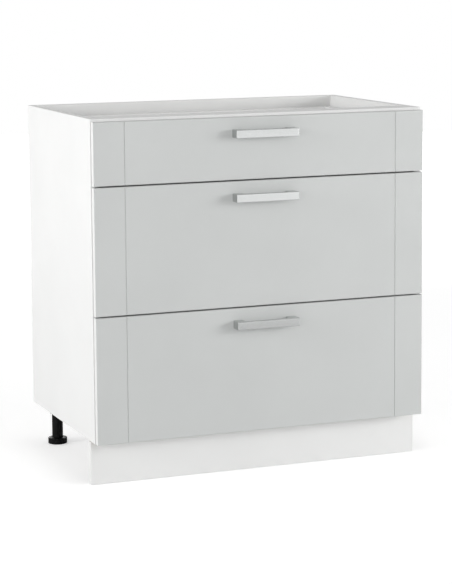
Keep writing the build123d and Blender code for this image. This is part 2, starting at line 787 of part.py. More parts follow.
    for cage_name, u_pair, ball_u, ball_v in (
        ("outer", (outer_cage_u, outer_cage_end), outer_ball_u, outer_ball_v),
        ("inner", (inner_cage_u, inner_cage_end), inner_ball_u, inner_ball_v),
    ):
        with BuildPart() as ball_cage:
            for side in (-1, 1):
                with BuildSketch(slide_plane(side, y_cage, slide_z[name])):
                    strip((u_pair[0], u_pair[0] + cage_strip), (-ball_v, ball_v))
                    for up in (-1, 1):
                        strip(u_pair, (up * ball_v - cage_strip / 2, up * ball_v + cage_strip / 2))
                extrude(amount=side * cage_length)
                balls = [
                    (side * (inner_x - ball_u), y_cage + ball_start + number * ball_pitch,
                     slide_z[name] + up * ball_v)
                    for up in (-1, 1)
                    for number in range(balls_in_row)
                ]
                with Locations(*balls):
                    Sphere(ball_radius)
        ball_cage.part.label = f"ball_cage_{cage_name}_{name}"
        export_step(ball_cage.part, f"parts/ball_cage_{cage_name}_{name}.step")
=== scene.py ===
import json
from functools import partial
from math import cos, pi, radians, sin

import bmesh
import bpy
from bpy.props import FloatProperty, FloatVectorProperty, IntProperty, PointerProperty
from mathutils import Euler, Matrix, Vector


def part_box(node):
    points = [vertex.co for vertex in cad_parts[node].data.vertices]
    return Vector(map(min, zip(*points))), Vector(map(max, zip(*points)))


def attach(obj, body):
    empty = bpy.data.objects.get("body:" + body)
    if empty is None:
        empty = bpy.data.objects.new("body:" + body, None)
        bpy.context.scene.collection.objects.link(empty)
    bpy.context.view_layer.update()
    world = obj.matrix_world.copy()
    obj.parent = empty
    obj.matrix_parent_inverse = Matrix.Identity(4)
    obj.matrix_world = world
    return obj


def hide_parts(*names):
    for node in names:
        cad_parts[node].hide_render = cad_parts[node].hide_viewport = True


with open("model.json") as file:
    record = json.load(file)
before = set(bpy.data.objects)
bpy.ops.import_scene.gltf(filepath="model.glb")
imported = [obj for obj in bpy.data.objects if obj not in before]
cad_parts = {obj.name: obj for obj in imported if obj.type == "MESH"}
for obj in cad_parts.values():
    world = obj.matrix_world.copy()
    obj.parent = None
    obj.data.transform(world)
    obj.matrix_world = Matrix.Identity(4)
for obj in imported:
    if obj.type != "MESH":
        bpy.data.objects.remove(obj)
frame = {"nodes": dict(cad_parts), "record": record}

bl_info = {
    "name": "Base Cabinet with Drawers",
    "version": (1, 0, 0),
    "blender": (4, 5, 0),
    "location": "3D View > Sidebar > Cabinet",
    "description": "Detailed pieces, finishes and studio for a kitchen base cabinet with drawers",
    "category": "Object",
}

# Metres, +Z up, -Y is the front.
MM = 0.001
WELD = 0.02 * MM  # points nearer than this are one point
DRAWERS = ("bottom", "middle", "top")
BODY_OF = {
    node: body for body, nodes in frame["record"]["behaviour"]["bodies"].items() for node in nodes
}
SLOT_OF = {part["node"]: part["material_slot"] for part in frame["record"]["subparts"]}


# ---------------- settings
def NumberProperty(name, description, default, **kind):
    """A number with its unit or subtype, if it has one."""
    return FloatProperty(name=name, description=description, default=default, **kind)


def ColourProperty(name, description, default):
    return FloatVectorProperty(name=name, description=description, default=default, subtype="COLOR")


LengthProperty = partial(NumberProperty, unit="LENGTH")
AngleProperty = partial(NumberProperty, subtype="ANGLE")
PowerProperty = partial(NumberProperty, subtype="POWER")


class BoardSettings(bpy.types.PropertyGroup):
    """Boards of the carcass, the plinth and the drawer boxes."""

    edge_round: LengthProperty("Edge round", "Round of a board's edges", 0.7 * MM)
    box_edge_round: LengthProperty("Box edge round", "Round of the drawer boxes' edges", 1.2 * MM)
    band: LengthProperty("Edge band", "Thickness of the edge band", 1.0 * MM)


class FrontSettings(bpy.types.PropertyGroup):
    """Drawer fronts."""

    edge_round: LengthProperty("Edge round", "Round of the face's outline", 2.0 * MM)
    rear_round: LengthProperty("Rear round", "Round of the rear's outline", 0.5 * MM)
    groove_inset: LengthProperty("Groove inset", "Front's edge to a groove's middle", 71.0 * MM)
    groove_width: LengthProperty("Groove width", "Width of a V-groove", 3.0 * MM)
    groove_depth: LengthProperty("Groove depth", "Depth of a V-groove", 1.3 * MM)
    groove_round: LengthProperty("Groove round", "Softness of a groove under the film", 0.35 * MM)


class HandleSettings(bpy.types.PropertyGroup):
    """Bracket handles."""

    bar: LengthProperty("Bar", "Thickness of the grip", 7.0 * MM)
    leg: LengthProperty("Leg", "Width of a leg", 22.0 * MM)
    inner_round: LengthProperty("Inner round", "Round where the legs meet the grip", 3.0 * MM)
    edge_round: LengthProperty("Edge round", "Round of the outer edges", 1.0 * MM)


class LegSettings(bpy.types.PropertyGroup):
    """Legs with their sockets, levelling feet and plinth clips."""

    plate: LengthProperty("Plate", "Thickness of a socket's plate", 4.0 * MM)
    collar: LengthProperty("Collar", "Radius of a socket's collar", 18.1 * MM)
    rib_reach: LengthProperty("Rib reach", "Socket's middle to a gusset's outer end", 26.0 * MM)
    rib_count: IntProperty(name="Ribs", description="Gussets under a socket's plate", default=8)
    rib_thickness: LengthProperty("Rib thickness", "Thickness of a gusset", 2.0 * MM)
    bore: LengthProperty("Bore", "Radius of a post's bore", 9.15 * MM)
    bore_top: LengthProperty("Bore top", "Height of the bore's end", 75.0 * MM)
    flute_count: IntProperty(name="Flutes", description="Flutes down a leg's post", default=16)
    flute_depth: LengthProperty("Flute depth", "Depth of a flute", 0.5 * MM)
    stem: LengthProperty("Stem", "Radius of a foot's stem", 9.0 * MM)
    thread_pitch: LengthProperty("Thread pitch", "Pitch of a stem's thread", 3.0 * MM)
    thread_depth: LengthProperty("Thread depth", "Depth of a stem's thread", 0.7 * MM)
    foot_thickness: LengthProperty("Foot thickness", "Height of a foot's disc", 14.0 * MM)
    grip_count: IntProperty(name="Notches", description="Notches round a foot's rim", default=24)
    grip_depth: LengthProperty("Grip depth", "Depth of a notch", 0.6 * MM)
    clip_round: LengthProperty("Clip round", "Round of a plinth clip's edges", 0.4 * MM)


class LeverSettings(bpy.types.PropertyGroup):
    """Release levers of the slides."""

    setback: LengthProperty("Setback", "Pivot behind the channel's front end", 108.0 * MM)
    metal: LengthProperty("Metal", "Channel's thickness with a little clearance", 1.35 * MM)
    length: LengthProperty("Length", "Pivot to the arm's end", 40.0 * MM)
    width: LengthProperty("Width", "Width of the arm", 4.4 * MM)
    thickness: LengthProperty("Thickness", "Thickness of the arm", 2.4 * MM)
    bow: LengthProperty("Bow", "Rise of the arm's bow", 1.8 * MM)
    pad: LengthProperty("Pad", "Length of the thumb pad", 11.0 * MM)


class FastenerSettings(bpy.types.PropertyGroup):
    """Screws and nails."""

    pan_height: LengthProperty("Pan height", "Height of a handle screw's head", 2.6 * MM)
    thread_pitch: LengthProperty("Thread pitch", "Distance between two turns", 1.4 * MM)
    nail: LengthProperty("Nail", "Radius of a nail's shank", 0.8 * MM)
    nail_head: LengthProperty("Nail head", "Height of a nail's head", 0.6 * MM)


class FinishSettings(bpy.types.PropertyGroup):
    """Colours of the finishes."""

    white: ColourProperty("White laminate", "Colour of the boards", (0.86, 0.862, 0.855))
    film: ColourProperty("Front film", "Colour of the drawer fronts", (0.602, 0.616, 0.609))
    sheet: ColourProperty("Sheet lacquer", "Colour of back and drawer bottoms", (0.83, 0.83, 0.82))
    nickel: ColourProperty("Satin nickel", "Colour of the handles", (0.585, 0.596, 0.593))
    slide: ColourProperty("Zinc plate", "Colour of the slides", (0.64, 0.65, 0.67))
    cage: ColourProperty("Cage steel", "Colour of the ball cages", (0.48, 0.48, 0.49))
    screw: ColourProperty("Screw plate", "Colour of screws, bolts and nails", (0.64, 0.63, 0.6))
    black: ColourProperty("Black plastic", "Colour of legs and levers", (0.0035, 0.0035, 0.0035))


class StudioSettings(bpy.types.PropertyGroup):
    """Camera, lights and floor."""

    camera_place: FloatVectorProperty(
        name="Camera place",
        description="Where the camera stands",
        subtype="TRANSLATION",
        unit="LENGTH",
        default=(-1.748, -4.4185, 1.163),
    )
    camera_turn: AngleProperty("Turn", "Heading, clockwise from +Y", radians(21.61))
    camera_dip: AngleProperty("Dip", "How far the camera looks down", radians(7.37))
    camera_roll: AngleProperty("Roll", "Clockwise roll", radians(0.434))
    lens: NumberProperty("Lens", "Focal length in mm", 125.5)
    shift: NumberProperty("Shift", "Vertical lens shift, in image heights", -0.12)
    horizon: NumberProperty("Horizon", "Light that comes level from all around", 0.82)
    zenith: NumberProperty("Zenith", "Light from straight above", 0.36)
    mirrored_zenith: NumberProperty("Mirrored zenith", "What mirrors see straight above", 0.2)
    left_softbox: PowerProperty("Left softbox", "Power in watts", 76.0)
    right_softbox: PowerProperty("Right softbox", "Power in watts", 76.0)
    front_softbox: PowerProperty("Front softbox", "Power in watts", 22.0)
    rear_softbox: PowerProperty("Rear softbox", "Power in watts", 60.0)
    floor_radius: LengthProperty("Floor radius", "Radius of the round floor", 9.0)
    floor_clearance: LengthProperty("Floor clearance", "Floor's depth below the feet", 0.5 * MM)
    floor_white: NumberProperty("Floor white", "Reflectance of the floor", 0.8, subtype="FACTOR")
    near_lift: NumberProperty("Near lift", "Glow of the near floor to the camera", 0.42)
    far_lift: NumberProperty("Far lift", "Glow of the far floor to the camera and mirrors", 1.0)
    near_reach: LengthProperty("Near reach", "How far out the near lift holds", 2.5)
    far_reach: LengthProperty("Far reach", "Where the far lift starts", 4.5)


# ---------------- finishes
WHOLE = (0.0, 1.0)  # all of a pattern's range
NOISE_BAND = (0.3, 0.7)  # most of a noise pattern lies in here


class Nodes:
    """Adds linked nodes to a node tree."""

    def __init__(self, tree):
        self.tree = tree

    def feed(self, entry, value):
        """Gives an entry a constant or another node's output."""
        if isinstance(value, bpy.types.NodeSocket):
            self.tree.links.new(value, entry)
        else:
            entry.default_value = value

    def node(self, kind, entries=None, **options):
        """Makes a node, feeds its entries by name or number and returns its outputs."""
        made = self.tree.nodes.new(kind)
        for name, value in options.items():
            setattr(made, name, value)
        for entry, value in (entries or {}).items():
            self.feed(made.inputs[entry], value)
        return made.outputs

    def spread(self, value, low, high, band=WHOLE):
        """A number that goes from low to high as value crosses a band."""
        ends = {"From Min": band[0], "From Max": band[1], "To Min": low, "To Max": high}
        return self.node("ShaderNodeMapRange", {"Value": value, **ends})["Result"]


class Wiring(Nodes):
    """One material's nodes, from the object's own coordinates to its shader."""

    def __init__(self, **constants):
        self.material = bpy.data.materials.new("finish")
        self.material.use_nodes = True
        super().__init__(self.material.node_tree)
        self.shader = self.tree.nodes["Principled BSDF"].inputs
        self.place = self.node("ShaderNodeTexCoord")["Object"]
        self.normal = {}
        for entry, value in constants.items():
            self.feed(self.shader[entry.replace("_", " ")], value)

    def noise(self, scale, detail, stretch=(1.0, 1.0, 1.0)):
        """Cloudy pattern from 0 to 1; scale is in cells a metre."""
        place = self.node("ShaderNodeMapping", {"Vector": self.place, "Scale": stretch})["Vector"]
        entries = {"Vector": place, "Scale": scale, "Detail": detail}
        return self.node("ShaderNodeTexNoise", entries)["Fac"]

    def cells(self, scale):
        """Distance to the nearest of scattered points; scale is in cells a metre."""
        return self.node("ShaderNodeTexVoronoi", {"Vector": self.place, "Scale": scale})["Distance"]

    def mix(self, factor, first, second):
        """A colour between two others, each three numbers or an output."""
        first, second = (
            end if isinstance(end, bpy.types.NodeSocket) else (*end, 1.0) for end in (first, second)
        )
        # Several entries and outputs share a name; 6, 7 and 2 are those for colours.
        entries = {"Factor": factor, 6: first, 7: second}
        return self.node("ShaderNodeMix", entries, data_type="RGBA")[2]

    def blend(self, pattern, first, second, band=NOISE_BAND):
        """Takes the base colour from first to second as a pattern crosses a band."""
        factor = self.spread(pattern, 0.0, 1.0, band)
        self.feed(self.shader["Base Color"], self.mix(factor, first, second))

    def tint(self, pattern, colour, low, high, band=NOISE_BAND):
        """Takes the base colour from low to high times a colour."""
        first, second = ([factor * channel for channel in colour] for factor in (low, high))
        self.blend(pattern, first, second, band)

    def roughness(self, pattern, low, high, band=NOISE_BAND):
        self.feed(self.shader["Roughness"], self.spread(pattern, low, high, band))

    def bump(self, pattern, depth):
        """Lays a relief of that depth over the earlier ones."""
        entries = {"Height": pattern, "Strength": 1.0, "Distance": depth, **self.normal}
        self.normal = {"Normal": self.node("ShaderNodeBump", entries)["Normal"]}
        self.feed(self.shader["Normal"], self.normal["Normal"])


def laminate(colours):
    """White melamine with a fine pearl grain."""
    wiring = Wiring(Specular_IOR_Level=0.25)
    wiring.tint(wiring.noise(scale=7.0, detail=4.0), colours.white, low=0.985, high=1.01)
    wiring.roughness(wiring.noise(scale=24.0, detail=5.0), low=0.48, high=0.62)
    wiring.bump(wiring.noise(scale=1400.0, detail=2.0), depth=0.012 * MM)
    wiring.bump(wiring.noise(scale=90.0, detail=2.0), depth=0.008 * MM)
    return wiring


def edge_band(colours):
    """The plastic band glued to a board's edge, a touch smoother than the faces."""
    wiring = Wiring(Specular_IOR_Level=0.25)
    wiring.tint(wiring.noise(scale=40.0, detail=3.0), colours.white, low=0.97, high=1.0)
    wiring.roughness(wiring.noise(scale=60.0, detail=3.0), low=0.42, high=0.55)
    wiring.bump(wiring.noise(scale=500.0, detail=2.0), depth=0.01 * MM)
    return wiring


def chipboard(_colours):
    """The raw edge of a board: pressed chips with dark gaps."""
    dull_chip, pale_chip, gap = (0.5, 0.36, 0.22), (0.66, 0.52, 0.36), (0.3, 0.2, 0.12)
    wiring = Wiring(Roughness=0.85, Specular_IOR_Level=0.2)
    cells = wiring.cells(scale=420.0)
    tone = wiring.spread(wiring.noise(scale=260.0, detail=4.0), 0.0, 1.0, NOISE_BAND)
    chips = wiring.mix(tone, dull_chip, pale_chip)
    wiring.blend(wiring.spread(cells, low=0.0, high=0.6, band=(0.2, 0.9)), chips, gap, WHOLE)
    wiring.bump(cells, depth=0.3 * MM)
    return wiring


def front_film(colours):
    """Matt grey film pressed over fibreboard, with a very fine tooth."""
    wiring = Wiring(Specular_IOR_Level=0.3)
    wiring.tint(wiring.noise(scale=5.0, detail=4.0), colours.film, low=0.98, high=1.015)
    wiring.roughness(wiring.noise(scale=30.0, detail=5.0), low=0.46, high=0.6)
    wiring.bump(wiring.noise(1800.0, detail=2.0, stretch=(1.0, 1.0, 0.35)), depth=0.015 * MM)
    wiring.bump(wiring.noise(scale=60.0, detail=2.0), depth=0.006 * MM)
    return wiring


def lacquered_sheet(colours):
    """Thin hardboard with white lacquer over its fibres."""
    wiring = Wiring(Specular_IOR_Level=0.35)
    fibres = wiring.noise(scale=160.0, detail=5.0, stretch=(1.0, 0.25, 1.0))
    wiring.tint(fibres, colours.sheet, low=0.97, high=1.01, band=(0.35, 0.65))
    wiring.roughness(wiring.noise(scale=20.0, detail=4.0), low=0.42, high=0.6)
    wiring.bump(fibres, depth=0.03 * MM)
    return wiring


def satin_nickel(colours):
    """Brushed and plated metal: fine lines run along the handle."""
    wiring = Wiring(Metallic=1.0)
    lines = wiring.noise(scale=60.0, detail=6.0, stretch=(1.0, 40.0, 40.0))
    wiring.tint(lines, colours.nickel, low=0.95, high=1.03, band=(0.35, 0.65))
    wiring.roughness(lines, low=0.2, high=0.28)
    wiring.bump(lines, depth=0.006 * MM)
    return wiring


def plated_steel(colour, smooth, rough):
    """Bright zinc plate with faint clouds and fine rolling lines."""
    wiring = Wiring(Metallic=1.0)
    wiring.tint(wiring.noise(scale=14.0, detail=4.0), colour, low=0.96, high=1.02)
    lines = wiring.noise(scale=500.0, detail=3.0, stretch=(1.0, 0.05, 1.0))
    wiring.roughness(lines, low=smooth, high=rough)
    wiring.bump(lines, depth=0.003 * MM)
    return wiring


def die_cast(_colours):
    """Dull zinc casting with a sandy skin; its colour carries painted shade, darker in the grain's
    hollows and lighter on its crests.
    """
    shaded_hollow, lit_crest = (0.36, 0.37, 0.38), (0.5, 0.51, 0.52)
    wiring = Wiring(Metallic=0.9)
    grain = wiring.noise(scale=900.0, detail=4.0)
    # painted shade and highlight: the colour follows the bump, darker where the grain is low
    wiring.blend(grain, shaded_hollow, lit_crest, WHOLE)
    wiring.roughness(grain, low=0.45, high=0.65, band=WHOLE)
    wiring.bump(grain, depth=0.05 * MM)
    return wiring


def beech(_colours):
    """Plain beech with its short dark flecks."""
    fleck, wood = (0.42, 0.25, 0.12), (0.62, 0.42, 0.24)
    wiring = Wiring(Roughness=0.6)
    grain = wiring.noise(scale=220.0, detail=5.0, stretch=(0.12, 1.0, 1.0))
    wiring.blend(grain, fleck, wood)
    wiring.bump(grain, depth=0.05 * MM)
    return wiring


def black_plastic(colours):
    """Moulded black plastic: a fine spark-eroded grain with a little dust."""
    wiring = Wiring(Specular_IOR_Level=0.12)
    dust = wiring.noise(scale=60.0, detail=5.0)
    wiring.tint(dust, colours.black, low=1.0, high=2.2, band=(0.45, 0.8))
    wiring.roughness(wiring.noise(scale=80.0, detail=4.0), low=0.4, high=0.55)
    wiring.bump(wiring.noise(scale=1500.0, detail=2.0), depth=0.02 * MM)
    return wiring


def soft_pad(_colours):
    """Milky soft plastic of a stop pad."""
    clear, hazy = (0.8, 0.8, 0.78), (0.88, 0.88, 0.86)
    wiring = Wiring(Roughness=0.22, IOR=1.45, Transmission_Weight=0.6)
    haze = wiring.noise(scale=700.0, detail=3.0)
    wiring.blend(haze, clear, hazy, WHOLE)
    wiring.bump(haze, depth=0.01 * MM)
    return wiring


FINISHES = {
    "laminated_board": laminate,
    "edge_band": edge_band,
    "chipboard": chipboard,
    "front_film": front_film,
    "white_sheet": lacquered_sheet,
    "handle_metal": satin_nickel,
    "zinc_steel": lambda colours: plated_steel(colours.slide, smooth=0.32, rough=0.42),
    "cage_steel": lambda colours: plated_steel(colours.cage, smooth=0.3, rough=0.4),
    "screw_steel": lambda colours: plated_steel(colours.screw, smooth=0.24, rough=0.34),
    "cam_zinc": die_cast,
    "dowel_wood": beech,
    "black_plastic": black_plastic,
    "clip_plastic": black_plastic,
    "pad_plastic": soft_pad,
}


def finish(name):
    """The finish of that name, made once."""
    label = f"finish_{name}"
    made = bpy.data.materials.get(label)
    if made is None:
        made = FINISHES[name](bpy.context.scene.cabinet_finishes).material
        made.name = label
    return made


# ---------------- mesh helpers
EASE = 0.3  # how near to its corner a round's middle point lies, by the round's size
RIDGE = 0.6  # height of a thread's ridge, by its pitch
WAVE_STEPS = 4  # steps of a turned solid for each flute or notch


def slab(lo, hi):
    """A box between two corners."""
    lo, hi = Vector(lo), Vector(hi)
    bm = bmesh.new()
    place = Matrix.LocRotScale((lo + hi) / 2, None, hi - lo)
    bmesh.ops.create_cube(bm, size=1.0, matrix=place)
    return bm


def soften(bm, edges, width, segments=2):
    """Rounds edges."""
    bmesh.ops.bevel(
        bm,
        geom=edges,
        offset=width,
        segments=segments,
        profile=0.5,
        affect="EDGES",
        material=-1,
        clamp_overlap=True,
    )


def cut(bm, point, normal):
    """Splits every face along a plane."""
    geometry = [*bm.verts, *bm.edges, *bm.faces]
    bmesh.ops.bisect_plane(bm, geom=geometry, dist=WELD / 10, plane_co=point, plane_no=normal)


def corners(bm, degrees=60.0):
    """The edges where two faces meet at more than that angle."""
    return [edge for edge in bm.edges if edge.calc_face_angle(0.0) > radians(degrees)]


def outline(bm, lo, hi):
    """The edges that run along the edges of the box between lo and hi."""

    def shared_sides(edge):
        return sum(
            all(abs(vert.co[axis] - corner[axis]) < WELD for vert in edge.verts)
            for corner in (lo, hi)
            for axis in range(3)
        )

    return [edge for edge in bm.edges if shared_sides(edge) >= 2]


def turned(profile, segments):
    """A closed solid of revolution about Z.

    The profile is (radius, height) pairs that start and end on the axis.
    """
    bm = bmesh.new()
    verts = [bm.verts.new((radius, 0.0, height)) for radius, height in profile]
    edges = [bm.edges.new(pair) for pair in zip(verts, verts[1:])]
    line = [*verts, *edges]
    bmesh.ops.spin(bm, geom=line, axis=(0, 0, 1), angle=2 * pi, steps=segments, use_merge=True)
    bmesh.ops.remove_doubles(bm, verts=bm.verts, dist=WELD / 10)
    bmesh.ops.recalc_face_normals(bm, faces=bm.faces)
    return bm


def scaled(shares, radius, height):
    """A profile from its shares of a radius and a height."""
    return [(across * radius, along * height) for across, along in shares]


def wave(vert, count):
    """From 0 to 1, count times round Z."""
    turn = Vector((1, 0)).angle_signed(vert.co.xy)
    return (1 + cos(turn * count)) / 2


def thread(bm, core, lit_crest, start, pitch, turns, steps):
    """Adds a closed helical ridge about Z that winds down from the height start."""
    root = core - 0.05 * MM  # sunk into the core
    ridge = ((root, start), (lit_crest, start - RIDGE / 2 * pitch), (root, start - RIDGE * pitch))
    verts = [bm.verts.new((radius, 0, height)) for radius, height in ridge]
    loop = [bm.edges.new((verts[number], verts[number - 1])) for number in range(3)]
    swept = bmesh.ops.spin(
        bm,
        geom=[*verts, *loop],
        axis=(0, 0, 1),
        dvec=(0, 0, -pitch / steps),
        angle=2 * pi * turns,
        steps=steps * turns,
    )
    bm.faces.new(verts)
    last = [each for each in swept["geom_last"] if isinstance(each, bmesh.types.BMEdge)]
    bmesh.ops.contextual_create(bm, geom=last)


def join(target, source, matrix=Matrix.Identity(4), keep=False):
    """Adds source, placed by a matrix, to target and frees it unless it is kept."""
    holder = bpy.data.meshes.new("holder")
    source.to_mesh(holder)
    holder.transform(matrix)
    target.from_mesh(holder)
    bpy.data.meshes.remove(holder)
    if not keep:
        source.free()


def merged_copy(node):
    """The node's own shape as one welded mesh with whole flat faces."""
    bm = bmesh.new()
    bm.from_mesh(frame["nodes"][node].data)
    bmesh.ops.remove_doubles(bm, verts=bm.verts, dist=WELD)
    bmesh.ops.dissolve_limit(bm, angle_limit=radians(0.5), verts=bm.verts, edges=bm.edges)
    return bm


def new_mesh(bm, name):
    """Turns a bmesh into a mesh."""
    mesh = bpy.data.meshes.new(name)
    bm.to_mesh(mesh)
    bm.free()
    return mesh


def new_object(name, data):
    """Puts a new object in the scene."""
    made = bpy.data.objects.new(name, data)
    bpy.context.scene.collection.objects.link(made)
    return made


def make_object(bm, name, finishes, sharp=40.0):
    """Turns a bmesh into an object with smooth rounds and flat flats."""
    if not bm.faces:
        raise RuntimeError(f"{name} has no faces")
    bmesh.ops.recalc_face_normals(bm, faces=bm.faces)
    mesh = new_mesh(bm, name)
    for each in finishes:
        mesh.materials.append(finish(each))
    mesh.shade_smooth()
    mesh.set_sharp_from_angle(angle=radians(sharp))
    piece = new_object(name, mesh)
    flats = piece.modifiers.new("flats_stay_flat", "WEIGHTED_NORMAL")
    flats.keep_sharp = True
    return piece


def make_piece(bm, name, node, finishes, sharp=40.0):
    """Makes an object that replaces a node and rides with its body."""
    piece = make_object(bm, name, finishes, sharp)
    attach(piece, BODY_OF[node])
    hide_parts(node)


def solids_of(node):
    """The lowest corner, highest corner and points of each of a node's solids."""
    bm = merged_copy(node)
    left = set(bm.verts)
    found = []
    while left:
        stack = [left.pop()]
        island = []
        while stack:
            vert = stack.pop()
            island.append(vert.co.copy())
            for edge in vert.link_edges:
                other = edge.other_vert(vert)
                if other in left:
                    left.remove(other)
                    stack.append(other)
        lo = Vector([min(co[axis] for co in island) for axis in range(3)])
        hi = Vector([max(co[axis] for co in island) for axis in range(3)])
        found.append((lo, hi, island))
    bm.free()
    # Sorted to the micrometre, so that every run gives the same order.
    found.sort(key=lambda solid: [round(value, 6) for value in (*solid[0], *solid[1])])
    return found


def upright(lo, hi):
    """The move from the origin to a box's upright axis."""
    middle = (lo + hi) / 2
    return Matrix.Translation((middle.x, middle.y, 0))


# ---------------- boards
class CABINET_OT_boards(bpy.types.Operator):
    """Boards of the carcass, the plinth and the drawer boxes, with softened and banded edges"""

    bl_idname = "cabinet.boards"
    bl_label = "Boards"

    def execute(self, context):
        sizes = context.scene.cabinet_boards
        front, rear = Vector((0, -1, 0)), Vector((0, 1, 0))
        top, under = Vector((0, 0, 1)), Vector((0, 0, -1))
        carcass = {  # banded edges and raw edges
            "side_panel_left": ((front, top), (rear, under)),
            "side_panel_right": ((front, top), (rear, under)),
            "bottom_panel": ((front,), (rear,)),
            "top_rail_front": ((front,), (rear,)),
            "top_rail_rear": ((top,), (under,)),
            "plinth_board": ((top,), ()),
        }
        for node, (banded, raw) in carcass.items():
            self.board(node, sizes.edge_round, sizes.band, banded, raw)
        for drawer in DRAWERS:
            for board in ("side_left", "side_right", "front", "back"):
                node = f"box_{board}_{drawer}"
                self.board(node, sizes.box_edge_round, sizes.band, (top,), (under,))
        return {"FINISHED"}

    @staticmethod
    def board(node, edge_round, band, banded, raw):
        """Softens a board's outline, bands some of its edges and leaves others raw."""
        lo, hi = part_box(node)
        bm = merged_copy(node)
        soften(bm, outline(bm, lo, hi), edge_round, segments=3)
        for way in banded:
            corner = hi if sum(way) > 0 else lo
            cut(bm, corner - band * way, way)
        for face in bm.faces:
            middle = face.calc_center_median()
            for way in (*banded, *raw):
                corner = hi if sum(way) > 0 else lo
                depth = (corner - middle).dot(way)
                if way in banded and depth < band:
                    face.material_index = 1
                elif way in raw and depth < WELD:
                    face.material_index = 2
        make_piece(bm, f"{node}_board", node, ("laminated_board", "edge_band", "chipboard"))


# ---------------- fronts
class CABINET_OT_fronts(bpy.types.Operator):
    """Three drawer fronts with rounded faces and two V-grooves each"""

    bl_idname = "cabinet.fronts"
    bl_label = "Drawer fronts"

    def execute(self, context):
        for drawer in DRAWERS:
            self.front(f"front_{drawer}", context.scene.cabinet_fronts)
        return {"FINISHED"}

    @staticmethod
    def front(node, sizes):
        lo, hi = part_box(node)
        bm = slab(lo, hi)
        face_edges = [e for e in bm.edges if all(v.co.y < lo.y + WELD for v in e.verts)]
        soften(bm, face_edges, sizes.edge_round, segments=4)
        rear_edges = [e for e in bm.edges if all(v.co.y > hi.y - WELD for v in e.verts)]
        soften(bm, rear_edges, sizes.rear_round)
        half = sizes.groove_width / 2
        grooves = (lo.x + sizes.groove_inset, hi.x - sizes.groove_inset)
        lines = [middle + step for middle in grooves for step in (-half, 0.0, half)]
        for x in lines:
            cut(bm, (x, 0, 0), (1, 0, 0))
        bottom = lo.y + sizes.groove_depth
        for vert in bm.verts:
            if vert.co.y < bottom and any(abs(vert.co.x - middle) < WELD for middle in grooves):
                vert.co.y = bottom
        creases = [
            edge
            for edge in bm.edges
            if all(vert.co.y < bottom + WELD for vert in edge.verts)
            and any(all(abs(vert.co.x - x) < WELD for vert in edge.verts) for x in lines)
        ]
        soften(bm, creases, sizes.groove_round)
        # The film covers the top and bottom edges; the sides and the rear are white. On the side
        # edges the white is partly painted light: a painted highlight standing for the light their
        # rounded edges catch from the side.
        bm.normal_update()
        for face in bm.faces:
            behind = face.calc_center_median().y > lo.y + sizes.edge_round
            up_or_down = abs(face.normal.z) >= 0.5
            if behind and not up_or_down:
                face.material_index = 1
        make_piece(bm, f"{node}_panel", node, ("front_film", "edge_band"), sharp=50.0)


# ---------------- handles
class CABINET_OT_handles(bpy.types.Operator):
    """Three bracket handles"""

    bl_idname = "cabinet.handles"
    bl_label = "Handles"

    def execute(self, context):
        for drawer in DRAWERS:
            self.handle(f"handle_{drawer}", context.scene.cabinet_handles)
        return {"FINISHED"}

    @staticmethod
    def handle(node, sizes):
        lo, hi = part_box(node)
        inner = lo.y + sizes.bar
        left, right = lo.x + sizes.leg, hi.x - sizes.leg
        bracket = (
            (lo.x, lo.y), (hi.x, lo.y), (hi.x, hi.y), (right, hi.y),
            (right, inner), (left, inner), (left, hi.y), (lo.x, hi.y),
        )
        bm = bmesh.new()
        base = bm.faces.new([bm.verts.new((x, y, lo.z)) for x, y in bracket])
        raised = bmesh.ops.extrude_face_region(bm, geom=[base])["geom"]
        bmesh.ops.translate(
            bm,
            vec=(0, 0, hi.z - lo.z),
            verts=[each for each in raised if isinstance(each, bmesh.types.BMVert)],
        )
        shaded_hollow = [
            edge
            for edge in bm.edges
            if all(abs(v.co.y - inner) < WELD for v in edge.verts)
            and abs(edge.verts[0].co.z - edge.verts[1].co.z) > WELD
        ]
        soften(bm, shaded_hollow, sizes.inner_round, segments=6)
        seated = hi.y - WELD
        outer = [edge for edge in corners(bm) if not all(v.co.y > seated for v in edge.verts)]
        soften(bm, outer, sizes.edge_round, segments=4)
        make_piece(bm, f"{node}_bracket", node, ("handle_metal",), sharp=50.0)


